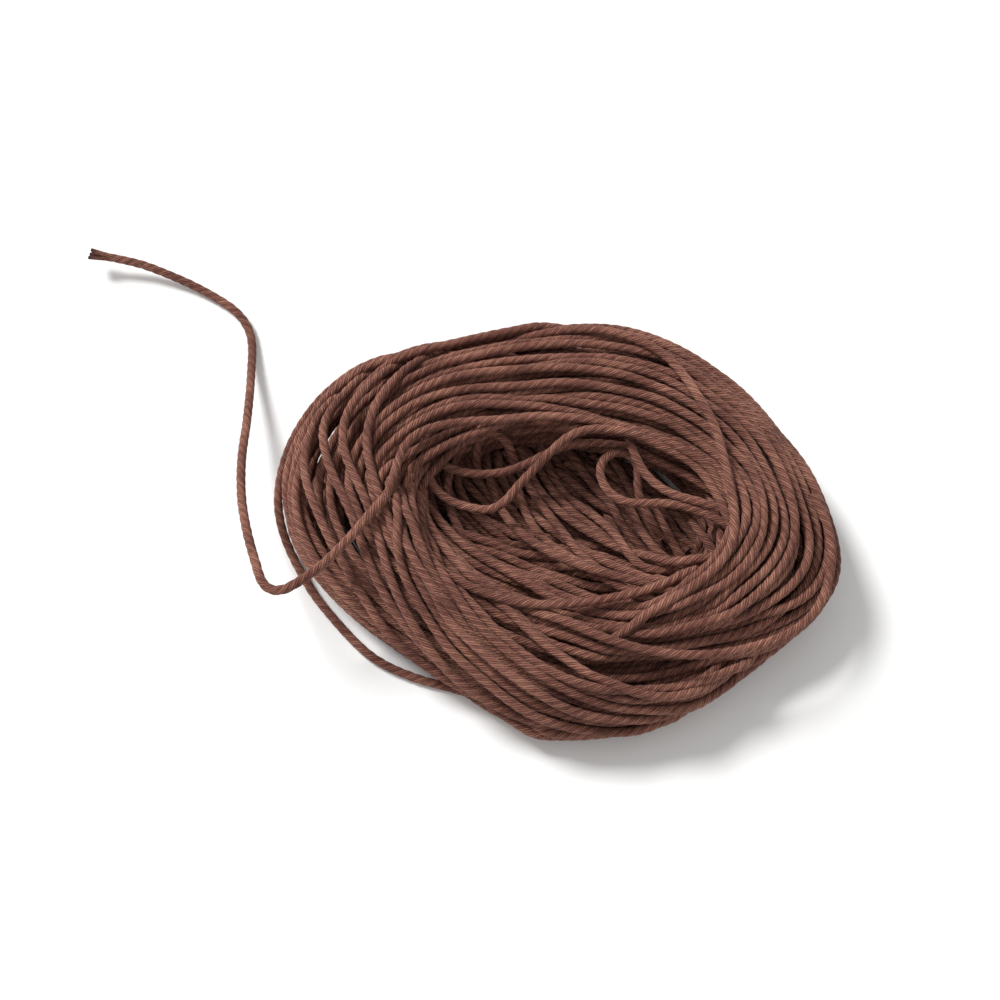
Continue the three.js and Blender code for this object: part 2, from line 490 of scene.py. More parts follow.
def around(values, turns):
    """Values given at the stations, read at any share of a turn on a smooth closed curve."""
    place = np.asarray(turns) % 1.0 * len(values)
    first = np.floor(place).astype(int)
    t = place - first
    before, here, there, after = (values[(first + k) % len(values)] for k in (-1, 0, 1, 2))
    slope_in, slope_out, rise = (there - before) / 2, (after - here) / 2, there - here
    bent = (3 * rise - 2 * slope_in - slope_out) * t**2
    return here + slope_in * t + bent + (slope_in + slope_out - 2 * rise) * t**3


def cut_line(turn):
    """The closed cut through the nest at one share of a turn: evenly spaced places (radius, height), the
    ways inwards there, the share of the cut's length at which each corner comes, and that length."""
    read = {name: float(around(STATION_ROWS[:, i], turn)) for i, name in enumerate(STATION_COLUMNS) if i}
    corners = [(read["pit_r"] + FOOT_INSET, 0.0)]
    names = ("pit", "rim", "crest", "edge", "belly")
    corners += [(read[name + "_r"], read[name + "_z"]) for name in names]
    corners = np.array(corners + [(read["foot_r"], 0.0)])
    fine = np.linspace(0.0, 1.0, CORNERS * CORNER_STEPS, endpoint=False)
    points = np.column_stack([around(corners[:, 0], fine), np.maximum(around(corners[:, 1], fine), 0.0)])
    closed = np.vstack([points, points[:1]])
    along = np.concatenate([[0.0], np.cumsum(np.linalg.norm(np.diff(closed, axis=0), axis=1))])
    places = np.linspace(0.0, along[-1], LANE_STEPS, endpoint=False)
    even = np.column_stack([np.interp(places, along, closed[:, i]) for i in range(2)])
    ahead = np.roll(even, -SLOPE_REACH, 0) - np.roll(even, SLOPE_REACH, 0)
    ahead /= np.linalg.norm(ahead, axis=1, keepdims=True)
    inwards = np.column_stack([ahead[:, 1], -ahead[:, 0]])
    return even, inwards, along[::CORNER_STEPS] / along[-1], along[-1]


cuts = [cut_line(k / COLUMNS_ROUND) for k in range(COLUMNS_ROUND)]
CUT_PLACES = np.array([c[0] for c in cuts])
CUT_INWARDS = np.array([c[1] for c in cuts])
CORNER_SHARES = np.array([c[2] for c in cuts])
CUT_LENGTHS = np.array([c[3] for c in cuts])
print(f"the cut's outline is {CUT_LENGTHS.min():.0f} to {CUT_LENGTHS.max():.0f} mm long")


def on_cut(column, share, depth):
    """Places in millimetres, from a column round the nest, a share of the cut's length and a depth."""
    slot = (share % 1.0) * LANE_STEPS
    low = np.floor(slot).astype(int) % LANE_STEPS
    part = (slot - np.floor(slot))[:, None]
    high = (low + 1) % LANE_STEPS
    place = CUT_PLACES[column, low] * (1 - part) + CUT_PLACES[column, high] * part
    inward = CUT_INWARDS[column, low] * (1 - part) + CUT_INWARDS[column, high] * part
    place = place + inward * depth[:, None]
    angle = 2 * np.pi * column / COLUMNS_ROUND
    return np.column_stack([place[:, 0] * np.cos(angle), place[:, 0] * np.sin(angle), place[:, 1]])


def share_at(column, corner):
    """The share of the cut's length at a place counted in corners."""
    low = np.clip(np.floor(corner).astype(int), 0, CORNERS - 1)
    here, there = CORNER_SHARES[column, low], CORNER_SHARES[column, low + 1]
    return here + (corner - low) * (there - here)


def slow_noise(count, waves, size):
    """A smooth wandering value along a path, with about that many waves, seeded."""
    knots = rng.normal(0.0, size, int(waves) + 5)
    place = np.linspace(1, len(knots) - 3 - 0.001, count)
    first = np.floor(place).astype(int)
    t = place - first
    a, b, c, d = (knots[np.clip(first + k, 0, len(knots) - 1)] for k in (-1, 0, 1, 2))
    b_part, c_part = 3 * t**3 - 6 * t**2 + 4, -3 * t**3 + 3 * t**2 + 3 * t + 1
    return ((1 - t)**3 * a + b_part * b + c_part * c + t**3 * d) / 6


# %% [markdown]
# The ribbon's two sides come from the table, and its turns share the room between them. Laid evenly they
# would look machine-wound, so each turn wanders sideways and in depth, most of all at the left where the
# real hank is messy, and slow waves draw them into bunches. Two valleys let the ribbon's inner side dip
# under its next time round. Where the ribbon is narrower than its turns, they lie three deep.

# %% Lay the outer ribbon
RIBBON_TURNS = 13
RIBBON_TIMES = 4
SIDE_SMOOTHINGS = 12
SIDE_WANDER = 0.45
SIDE_WAVES = 6
DEPTH_WANDER = 0.36
DEPTH_WAVES = 7
KNOT_SPREAD = 1.6
TUCK_DEPTH = 3.5
TUCK_STEPS = 40
MESSY_ANGLE = 180.0
MESSY_REACH = 45.0
CALM_WANDER = 0.6
MESSY_WANDER = 1.3
CROWDED_LAYERS = 3
CROWDED_DEPTH = 0.87
LEAST_DEPTH = 0.15
VALLEY_SIDE = 0.72
RISE_SIDE = 0.25
SIDE_BLEND = 0.2
RISE = 0.35
VALLEYS = [
    # middle in times round, reach in times round, depth in millimetres
    (1.14, 0.12, 2.8), (2.42, 0.07, 1.6),
]
BUNCH_WAVES = [
    # length in turns, waves each time round, size in millimetres
    (3.3, 1.3, 0.34), (4.7, -2.1, 0.30), (7.1, 0.7, 0.36),
]

knot_turns, knot_sides = [0.0], [float(CORNERS)]
for time in range(RIBBON_TIMES + 1):
    for row in range(len(RIBBON_ROWS)):
        knot_turns.append(time + (row + 1) / len(RIBBON_ROWS))
        knot_sides.append(RIBBON_ROWS[len(RIBBON_ROWS) - 1 - row, 1 + time])
side_steps = np.arange((RIBBON_TIMES + 1) * COLUMNS_ROUND + 1)
ribbon_side = np.interp(side_steps / COLUMNS_ROUND, knot_turns, knot_sides)
for _ in range(SIDE_SMOOTHINGS):
    ribbon_side[1:-1] = (ribbon_side[:-2] + 2 * ribbon_side[1:-1] + ribbon_side[2:]) / 4

ribbon_count = RIBBON_TIMES * COLUMNS_ROUND + 1
ribbon_time = np.arange(ribbon_count) / COLUMNS_ROUND
ribbon_column = (-np.arange(ribbon_count)) % COLUMNS_ROUND
outer_side = share_at(ribbon_column, ribbon_side[:ribbon_count])
inner_side = share_at(ribbon_column, ribbon_side[COLUMNS_ROUND:COLUMNS_ROUND + ribbon_count])
ribbon_width = (outer_side - inner_side) * CUT_LENGTHS[ribbon_column]
print(f"the ribbon is {ribbon_width.min():.1f} to {ribbon_width.max():.1f} mm wide")

from_messy = (ribbon_column * 360.0 / COLUMNS_ROUND - MESSY_ANGLE + 180.0) % 360.0 - 180.0
messy = CALM_WANDER + MESSY_WANDER * np.exp(-(from_messy / MESSY_REACH)**2)
bunch_starts = rng.uniform(0.0, 2 * np.pi, len(BUNCH_WAVES))
from_end = np.minimum(np.arange(ribbon_count), np.arange(ribbon_count)[::-1])
end_tuck = np.clip(1 - from_end / TUCK_STEPS, 0, 1)**2


def ribbon_line(turn):
    """One turn of the ribbon, from under the nest to the foot of the hollow."""
    across = (turn + 0.5) / RIBBON_TURNS
    shift = slow_noise(ribbon_count, RIBBON_TIMES * SIDE_WAVES, SIDE_WANDER * KNOT_SPREAD)
    for (lanes, times, size), start in zip(BUNCH_WAVES, bunch_starts):
        shift = shift + size * np.sin(2 * np.pi * (turn / lanes + times * ribbon_time) + start)
    share = outer_side + across * (inner_side - outer_side) + shift * messy / CUT_LENGTHS[ribbon_column]
    crowd = np.clip(1.0 - ribbon_width / RIBBON_TURNS, 0.0, 1.0)
    depth = THREAD / 2 + (turn % CROWDED_LAYERS) * CROWDED_DEPTH * np.clip(2.0 * crowd, 0, 1)
    up_and_down = slow_noise(ribbon_count, RIBBON_TIMES * DEPTH_WAVES, DEPTH_WANDER * KNOT_SPREAD)
    depth = depth + up_and_down * messy
    for middle, reach, deep in VALLEYS:
        near = np.exp(-((ribbon_time - middle) / reach)**2)
        depth = depth + deep * near * np.clip((across - VALLEY_SIDE) / SIDE_BLEND, 0, 1)
        near_next = np.exp(-((ribbon_time - middle - 1) / reach)**2)
        depth = depth - RISE * near_next * np.clip((RISE_SIDE - across) / SIDE_BLEND, 0, 1)
    depth = np.maximum(depth, LEAST_DEPTH) + TUCK_DEPTH * end_tuck
    return on_cut(ribbon_column, share, depth)


outer_lines = [ribbon_line(turn) for turn in range(RIBBON_TURNS)]

# %% [markdown]
# Between and under the turns of the ribbon the eye catches more thread, so the nest isn't left hollow.
# Three plain layers are wound inside it, each of one long line and each a thread deeper. They could be a
# dark solid, but where a gap opens it is turns that show, with light on them.

# %% Lay the turns inside
LAYER_TURNS = (27, 15, 5)
LAYER_DEPTH = 0.98
FIRST_LAYER = 1.5
LANE_WANDER = 0.5
LAYER_WANDER = 0.12
COLUMN_STEP = 2


def lay_layer(layer, turns):
    """One layer of plain winding under the ribbon, from its first lane to its last."""
    count = turns * COLUMNS_ROUND // COLUMN_STEP
    column = (-COLUMN_STEP * np.arange(count)) % COLUMNS_ROUND
    lane = np.arange(count) / count + slow_noise(count, turns * 2, LANE_WANDER / turns)
    depth = THREAD / 2 + LAYER_DEPTH * layer + slow_noise(count, turns * 3, LAYER_WANDER)
    return on_cut(column, lane, depth)


inner_lines = [lay_layer(k + FIRST_LAYER, turns) for k, turns in enumerate(LAYER_TURNS)]
print("turns:", RIBBON_TURNS * RIBBON_TIMES, "outside and", sum(LAYER_TURNS), "inside")

# %% [markdown]
# Some turns on the real hank lie out of line, and they are what makes it look wound by hand. Each gets a
# route of its own, of listed places. A route could be written in millimetres, but it was found in the
# picture, so its places are the camera's: how far across and down the picture, and the height above the
# floor in millimetres. One function turns such a place into millimetres, with the camera's own lens and
# position.

# %% From a place in the picture to millimetres
PICTURE_SIZE = 1000
PICTURE_FOCUS = LENS / SENSOR_WIDTH * PICTURE_SIZE
view_right = np.array([1.0, 0.0, 0.0])
view_ahead = -np.array(towards_camera)
view_down = np.cross(view_ahead, view_right)
camera_place = np.array(camera.location) / MM


def seen_at(across, down, height):
    """The place in millimetres that is seen at a point of the picture, at one height over the floor."""
    to_right = (across - PICTURE_SIZE / 2) / PICTURE_FOCUS * view_right
    to_front = (down - PICTURE_SIZE / 2) / PICTURE_FOCUS * view_down
    ray = view_ahead + to_right + to_front
    return camera_place + ray * (height - camera_place[2]) / ray[2]


def seen_line(route):
    """A route of places in the picture, in millimetres."""
    return np.array([seen_at(*place) for place in route])


middle_seen = seen_at(PICTURE_SIZE / 2, PICTURE_SIZE / 2, 0.0)
print("the middle of the picture is the floor at", [round(float(c), 1) for c in middle_seen])

# %% [markdown]
# One turn crosses over all the others at the right. Another runs round the far rim of the hollow, comes
# forward at the left and leaves as the free end. The first starts and ends inside the nest, and the second
# starts under the first, so that no cut end shows.

# %% Over the right, and round the rim
OVER_THE_RIGHT = [
    (488, 368, 5.2), (500, 352, 7.2), (520, 340, 9.0), (560, 330, 10.2), (600, 329, 11.0),
    (635, 337, 11.6), (665, 352, 12.0), (683, 372, 12.5), (695, 392, 12.8), (705, 408, 12.9),
    (716, 430, 13.0), (722, 450, 13.0), (728, 475, 12.9), (733, 500, 12.6), (735, 525, 12.3),
    (730, 548, 12.1), (715, 568, 11.8), (695, 585, 11.4), (670, 600, 11.0), (650, 612, 10.5),
    (630, 627, 9.8), (611, 640, 8.8), (598, 647, 7.6), (589, 651, 6.0), (583, 653, 4.2), (578, 654, 2.6),
]
ROUND_THE_RIM = [
    (735, 540, 9.4), (728, 505, 10.2), (715, 478, 10.6), (700, 462, 10.8), (675, 447, 10.8),
    (650, 437, 10.7), (625, 430, 10.7), (600, 424, 10.7), (575, 419, 10.8), (550, 416, 10.9),
    (525, 417, 11.0), (500, 420, 11.1), (475, 421, 11.2), (450, 424, 11.4), (430, 429, 11.6),
    (413, 437, 11.8), (402, 449, 12.0), (396, 463, 12.2), (391, 480, 12.1),
]
print("routes of", len(OVER_THE_RIGHT), "and", len(ROUND_THE_RIM), "places")

# %% [markdown]
# In the hollow a few strands have come loose. Two hang down from the left and rise again towards the right,
# one curls round on itself at the right beside a short length, and two small ones stand in the dark at the
# left.

# %% Loose in the hollow
HANGING_LOW = [
    (415, 428, 9.6), (423, 441, 9.0), (430, 453, 8.4), (442, 463, 8.0), (456, 469, 7.7), (472, 472, 7.5),
    (491, 472, 7.4), (511, 469, 7.5), (530, 462, 7.7), (548, 453, 7.9), (568, 445, 8.0), (598, 441, 8.0),
    (625, 446, 7.9), (650, 457, 7.9), (675, 469, 8.0), (700, 482, 8.3), (725, 497, 8.8), (748, 512, 9.0),
]
HANGING_FRONT = [
    (418, 442, 7.2), (424, 460, 7.4), (430, 478, 7.4), (438, 491, 7.4), (451, 501, 7.4), (470, 507, 7.5),
    (489, 510, 7.8), (502, 505, 8.3), (511, 495, 8.8), (521, 482, 9.3), (535, 468, 9.8), (549, 455, 10.3),
    (562, 443, 10.7), (576, 434, 10.9), (595, 429, 11.0), (615, 429, 10.9), (640, 434, 10.8),
    (665, 445, 10.7), (690, 458, 10.6), (712, 480, 10.6), (726, 510, 10.6), (737, 535, 10.6),
    (738, 560, 10.4), (722, 585, 10.2), (695, 606, 9.8), (665, 620, 9.0), (640, 630, 7.8),
]
SHORT_END = [
    (628, 438, 9.4), (632, 450, 9.3), (638, 465, 9.2), (647, 478, 9.2), (662, 489, 9.3), (680, 497, 9.6),
    (700, 503, 9.9), (722, 508, 10.3), (742, 512, 10.4), (760, 520, 9.4),
]
CURL = [
    (752, 540, 9.4), (738, 530, 10.0), (722, 520, 9.9), (700, 511, 9.5), (675, 505, 9.1), (655, 503, 8.9),
    (636, 503, 8.8), (618, 499, 8.7), (605, 488, 8.6), (600, 473, 8.5), (604, 459, 8.4), (615, 451, 8.3),
    (628, 452, 8.1), (637, 461, 7.8), (638, 474, 7.4), (637, 488, 6.9), (642, 504, 6.2), (651, 522, 5.3),
    (660, 540, 4.3),
]
LOW_ARCH = [
    (436, 470, 4.5), (441, 453, 6.0), (449, 440, 7.4), (462, 432, 8.4), (480, 430, 8.8), (497, 433, 8.6),
    (508, 442, 7.8), (514, 456, 6.6), (516, 472, 5.2),
]
UPRIGHT = [(482, 424, 8.6), (479, 436, 7.9), (477, 450, 6.8), (476, 464, 5.6), (478, 478, 4.4)]
loose_routes = [HANGING_LOW, HANGING_FRONT, SHORT_END, CURL, LOW_ARCH, UPRIGHT]
print(len(loose_routes), "strands hang loose in the hollow")

# %% [markdown]
# At the left the nest is at its loosest. The outermost turn stands away from it there, comes down and
# runs along the floor in front with a gap of bare floor beside it, and a second one follows nearer in.
# Two more close the wall inside them, and four turns come from the back over the left shoulder and cross
# steeply over the others.

# %% Round the left
LEFT_AND_FLOOR = [
    (540, 374, 5.6), (522, 361, 7.0), (500, 354, 8.0), (470, 357, 8.2), (440, 361, 7.9), (418, 360, 7.5),
    (402, 357, 7.0), (386, 358, 6.4), (370, 363, 5.8), (352, 372, 5.2), (334, 386, 4.7), (318, 402, 4.3),
    (303, 423, 4.0), (290, 448, 3.8), (282, 475, 3.5), (280, 503, 3.1), (284, 530, 2.4), (292, 553, 1.5),
    (303, 575, 0.8), (316, 598, 0.5), (333, 621, 0.5), (350, 640, 0.5), (368, 655, 0.5), (386, 665, 0.5),
    (405, 673, 0.5), (426, 681, 0.5), (449, 687, 0.5), (474, 694, 0.5), (500, 702, 0.6), (530, 714, 0.8),
    (560, 722, 1.0),
]
NEAR_THE_FLOOR = [
    (320, 480, 5.4), (312, 505, 4.6), (309, 530, 3.6), (313, 553, 2.6), (322, 574, 1.9), (335, 593, 1.5),
    (351, 610, 1.3), (369, 625, 1.2), (387, 638, 1.1), (405, 650, 1.1), (424, 662, 1.2), (445, 674, 1.5),
    (466, 684, 1.8), (490, 692, 2.0), (520, 700, 2.0),
]
LEFT_INSIDE_1 = [
    (372, 400, 4.6), (350, 425, 4.6), (335, 452, 4.6), (327, 480, 4.6), (325, 512, 4.6), (330, 545, 4.2),
    (341, 575, 3.6), (356, 600, 3.0),
]
LEFT_INSIDE_2 = [
    (385, 420, 3.2), (362, 448, 3.2), (347, 478, 3.2), (340, 510, 3.2), (344, 542, 3.0), (356, 572, 2.6),
]
LEFT_CROSSING_1 = [
    (480, 382, 4.2), (464, 366, 5.2), (448, 355, 6.8), (430, 355, 8.2), (407, 367, 9.8), (386, 388, 10.8),
    (373, 411, 11.1), (367, 436, 11.2), (370, 463, 11.2), (379, 490, 11.0), (391, 520, 10.6),
    (404, 550, 10.2), (419, 582, 9.6), (438, 615, 8.9), (462, 648, 8.2), (492, 677, 7.4), (530, 702, 6.4),
    (580, 718, 5.2), (635, 720, 4.2), (690, 692, 3.4), (735, 655, 2.8),
]
LEFT_CROSSING_2 = [
    (455, 387, 3.8), (437, 370, 5.0), (418, 360, 6.8), (398, 365, 8.4), (376, 378, 9.8), (356, 398, 10.5),
    (345, 421, 10.8), (345, 450, 10.9), (355, 478, 10.8), (367, 506, 10.6), (379, 540, 10.2),
    (389, 571, 9.7), (403, 607, 8.9), (425, 645, 7.8), (452, 678, 6.6), (488, 705, 5.2), (535, 722, 3.9),
    (590, 724, 2.9), (645, 708, 2.2), (690, 680, 1.8),
]
LEFT_CROSSING_3 = [
    (415, 394, 3.6), (394, 377, 5.0), (374, 372, 6.8), (352, 385, 8.2), (331, 405, 9.2), (321, 426, 9.6),
    (324, 450, 9.9), (332, 472, 10.0), (343, 496, 10.0), (354, 519, 9.8), (364, 545, 9.5),
    (375, 572, 9.0), (388, 598, 8.5), (408, 629, 7.6), (437, 661, 6.2), (472, 689, 4.8), (515, 710, 3.6),
    (565, 718, 2.6), (620, 712, 1.9), (660, 692, 1.5),
]
LEFT_CROSSING_4 = [
    (385, 407, 3.4), (366, 393, 4.4), (348, 390, 6.0), (330, 405, 7.4), (312, 428, 8.2), (303, 458, 8.6),
    (307, 488, 9.0), (321, 520, 9.0), (339, 552, 8.6), (356, 582, 7.9), (373, 611, 7.0), (394, 640, 5.8),
    (422, 666, 4.4), (458, 688, 3.2), (500, 702, 2.4), (550, 708, 1.8), (600, 700, 1.4),
]
left_routes = [LEFT_AND_FLOOR, NEAR_THE_FLOOR, LEFT_INSIDE_1, LEFT_INSIDE_2, LEFT_CROSSING_1,
               LEFT_CROSSING_2, LEFT_CROSSING_3, LEFT_CROSSING_4]
print(len(left_routes), "turns go round the left")

# %% [markdown]
# In front the hollow ends in two lips, each a turn that stands out over the ones under it, and three
# short strands slant down into the dark at the right. With these the routes are complete. The rim turn
# runs on into the free end, so the two are laid as one line and parted again later.

# %% Along the front of the hollow
UPPER_LIP = [
    (398, 462, 10.6), (394, 485, 10.6), (395, 508, 10.4), (401, 528, 10.1), (411, 546, 9.9),
    (428, 562, 9.7), (452, 578, 9.6), (478, 590, 9.6), (505, 599, 9.6), (532, 604, 9.6), (560, 606, 9.6),
    (590, 603, 9.6), (618, 597, 9.6), (645, 590, 9.5), (668, 583, 9.3), (690, 572, 8.8), (712, 558, 8.0),
]
LOWER_LIP = [
    (505, 606, 7.4), (530, 611, 8.6), (555, 618, 9.4), (577, 627, 9.8), (600, 637, 10.0),
    (625, 645, 10.0), (652, 650, 10.0), (682, 654, 9.9), (712, 655, 9.8), (742, 651, 9.7),
    (770, 642, 9.5), (795, 628, 9.2), (815, 607, 8.9), (827, 583, 8.6), (831, 555, 8.4), (826, 525, 8.3),
    (812, 495, 8.3),
]
LIGHT_SLANT = [
    (620, 495, 3.8), (628, 505, 4.6), (636, 518, 5.3), (645, 533, 5.9), (656, 548, 6.4), (670, 562, 6.9),
    (687, 575, 7.4), (706, 584, 8.0), (725, 588, 8.4),
]
DIM_SLANT = [
    (645, 500, 4.5), (655, 512, 4.6), (664, 526, 4.5), (672, 541, 4.2), (680, 556, 3.8), (692, 570, 3.5),
]
RIGHT_SLANT = [(690, 520, 7.6), (700, 531, 7.4), (709, 543, 7.0), (718, 556, 6.6), (730, 568, 6.4)]

front_routes = [UPPER_LIP, LOWER_LIP, LIGHT_SLANT, DIM_SLANT, RIGHT_SLANT]
WORK_STEP = 0.8
OVERLAP_PLACES = 8

own_routes = [OVER_THE_RIGHT, ROUND_THE_RIM] + loose_routes + left_routes + front_routes
own_lines = [smooth_line(seen_line(route), WORK_STEP) for route in own_routes]
rim_index = own_routes.index(ROUND_THE_RIM)
free_start = np.array(LOOSE_END_ROUTE[:OVERLAP_PLACES], float)
rim_with_free_end = smooth_line(np.vstack([seen_line(ROUND_THE_RIM), free_start]), WORK_STEP)
own_lines[rim_index] = rim_with_free_end
print(len(own_lines), "turns have a route of their own")

# %% [markdown]
# In the front of the hollow a band of turns doesn't follow the inner wall. It comes from the front right,
# cuts slantwise across the hollow and goes down under the back wall. Its turns could have a route each,
# but they run side by side, so two guides are enough: they are the band's sides, and the turns lie
# between them.

# %% The slanting band
SLANT_TURNS = 7
SLANT_WANDER = 0.9
BAND_WAVES = 5
SLANT_INNER = [
    (722, 578, 7.6), (700, 581, 7.2), (672, 571, 6.4), (645, 556, 5.4), (622, 537, 4.4), (602, 516, 3.5),
    (583, 494, 2.8), (566, 472, 2.2), (553, 452, 1.7), (545, 435, 1.3),
]
SLANT_OUTER = [
    (735, 600, 8.8), (700, 603, 8.9), (655, 598, 8.8), (610, 586, 8.2), (568, 568, 7.4), (532, 546, 6.3),
    (505, 520, 5.0), (487, 497, 3.8), (474, 476, 2.8), (465, 455, 2.0),
]


def band(inner, outer, turns, wander):
    """Lines that fill the band between two guides, evenly and each with a wander of its own."""
    inner_line, outer_line = seen_line(inner), seen_line(outer)
    lines = []
    for turn in range(turns):
        share = (turn + 0.5) / turns
        line = smooth_line(inner_line * (1 - share) + outer_line * share, WORK_STEP)
        lines.append(line + np.column_stack([slow_noise(len(line), BAND_WAVES, wander) for _ in range(3)]))
    return lines


slant_lines = band(SLANT_INNER, SLANT_OUTER, SLANT_TURNS, SLANT_WANDER)
print(len(slant_lines), "turns slant across the hollow")

# %% [markdown]
# At the front left the outer turns come out from under the ones nearer the rim and sweep down to the
# bottom right. They cross the others at an angle, so they can't be turns of the ribbon and are a band of
# their own.

# %% The sweeping band
SWEEP_TURNS = 9
SWEEP_WANDER = 0.6
SWEEP_INNER = [
    (408, 500, 6.8), (418, 526, 8.0), (436, 556, 9.0), (462, 582, 9.6), (495, 607, 9.8), (528, 634, 9.6),
    (560, 656, 9.4), (597, 676, 9.0), (640, 690, 8.3), (690, 694, 7.3), (735, 678, 5.8), (762, 642, 4.4),
    (778, 615, 3.2),
]
SWEEP_OUTER = [
    (380, 440, 8.0), (383, 470, 9.6), (388, 505, 10.2), (396, 545, 10.1), (410, 588, 9.7),
    (432, 630, 9.0), (462, 668, 8.0), (500, 698, 7.0), (548, 718, 5.8), (600, 727, 4.6), (655, 714, 3.6),
    (700, 682, 3.0), (735, 650, 2.6),
]
sweep_lines = band(SWEEP_INNER, SWEEP_OUTER, SWEEP_TURNS, SWEEP_WANDER)
print(len(sweep_lines), "turns sweep over the front left")

# %% [markdown]
# The bottom of the hollow isn't empty either. Turns cross under it from wall to wall, nearly side by side
# along the same slant as the band above them, so no floor shows through. A dark disc would hide the floor
# too, but in the photograph's light the strands down there can be told apart. A closed layer lies on the
# floor, and a few more turns cross over it less evenly.

# %% Turns across the bottom of the hollow
FLOOR_TURNS = 33
CROSS_TURNS = 12
HOLLOW_ENDS = np.array([(-22.0, 6.0), (9.5, -2.2)])
LOW_SLANT = -0.85
LOW_HALF_LENGTHS = (7.0, 11.0)
LEFT_SHARE = 0.3
LOW_WAVES = 3
LOW_SIDE_WANDER = 0.6
LOW_HEIGHT_WANDER = 0.3
FLOOR_SPREAD = 0.04
FLOOR_HEIGHT = 0.5
CROSS_SPREAD = 0.4
CROSS_HEIGHT = 1.5
CROSS_SHARES = (0.1, 0.9)


def low_turn(share, slant_spread, height):
    """One turn across the bottom of the hollow; share is how far along the hollow its middle lies."""
    middle = HOLLOW_ENDS[0] + share * (HOLLOW_ENDS[1] - HOLLOW_ENDS[0])
    slant = LOW_SLANT + rng.uniform(-slant_spread, slant_spread)
    half_length = np.interp(share, (0.0, LEFT_SHARE), LOW_HALF_LENGTHS)
    places = np.linspace(-half_length, half_length, int(2 * half_length / WORK_STEP))
    side = slow_noise(len(places), LOW_WAVES, LOW_SIDE_WANDER)
    x = middle[0] + places * math.cos(slant) - side * math.sin(slant)
    y = middle[1] + places * math.sin(slant) + side * math.cos(slant)
    z = height + slow_noise(len(places), LOW_WAVES, LOW_HEIGHT_WANDER)
    return np.column_stack([x, y, z])


low_lines = []
for turn in range(FLOOR_TURNS):
    low_lines.append(low_turn((turn + 0.5) / FLOOR_TURNS, FLOOR_SPREAD, FLOOR_HEIGHT))
for turn in range(CROSS_TURNS):
    low_lines.append(low_turn(rng.uniform(*CROSS_SHARES), CROSS_SPREAD, CROSS_HEIGHT))
print(len(low_lines), "turns cross the bottom of the hollow")

# %% [markdown]
# Laid out this way the turns still run through each other in places. Real turns push each other aside
# until they touch. Blender's rigid bodies or cloth could do that, but not for thirteen metres of thread
# in seconds, so points that come too near are found first. A grid of cells does it: each point is tested
# only against the points of its own cell and of the cells beside it.


# %% Find the points that are too near
def near_pairs(points, reach):
    """Index pairs of points closer than reach, found on a grid of cells of that size."""
    cell = np.floor((points - points.min(0)) / reach).astype(np.int64) + 1
    size = cell.max(0) + 2
    key = (cell[:, 0] * size[1] + cell[:, 1]) * size[2] + cell[:, 2]
    order = np.argsort(key, kind="stable")
    sorted_key = key[order]
    steps = [(x, y, z) for x in (-1, 0, 1) for y in (-1, 0, 1) for z in (-1, 0, 1)]
    firsts, seconds = [], []
    for dx, dy, dz in [step for step in steps if step >= (0, 0, 0)]:
        other = key + (dx * size[1] + dy) * size[2] + dz
        start = np.searchsorted(sorted_key, other, "left")
        stop = np.searchsorted(sorted_key, other, "right")
        counts = stop - start
        first = np.repeat(np.arange(len(points)), counts)
        offset = np.arange(counts.sum()) - np.repeat(np.cumsum(counts) - counts, counts)
        second = order[np.repeat(start, counts) + offset]
        keep = first < second if (dx, dy, dz) == (0, 0, 0) else np.ones(len(first), bool)
        firsts.append(first[keep])
        seconds.append(second[keep])
    first, second = np.concatenate(firsts), np.concatenate(seconds)
    near = np.linalg.norm(points[first] - points[second], axis=1) < reach
    return first[near], second[near]


two_apart = near_pairs(np.array([(0.0, 0.0, 0.0), (0.5, 0.0, 0.0), (5.0, 0.0, 0.0)]), THREAD)
print("near pairs among three points:", len(two_apart[0]))

# %% [markdown]
# Then the turns push each other apart. In each round, points of different turns that are nearer than a
# thread move away from each other, every line is kept smooth, each point is drawn softly back to where
# the winding put it, and nothing goes through the floor. A point that is held more gives way less, so the
# loose turns go round the ones whose routes are listed.

# %% Let the turns push each other apart
SPACING = 0.95 * THREAD
PAIR_REACH = 1.9 * THREAD
PAIR_ROUNDS = 6
OWN_REACH = 8
HOLD_WEIGHT = 12.0
SIDE_BY_SIDE = 0.45
SIDE_FADE = 0.5
PUSH_SHARE = 0.35
MOST_MOVE = 0.15
SMOOTHING = 0.3
DEEP_OVERLAP = 0.2


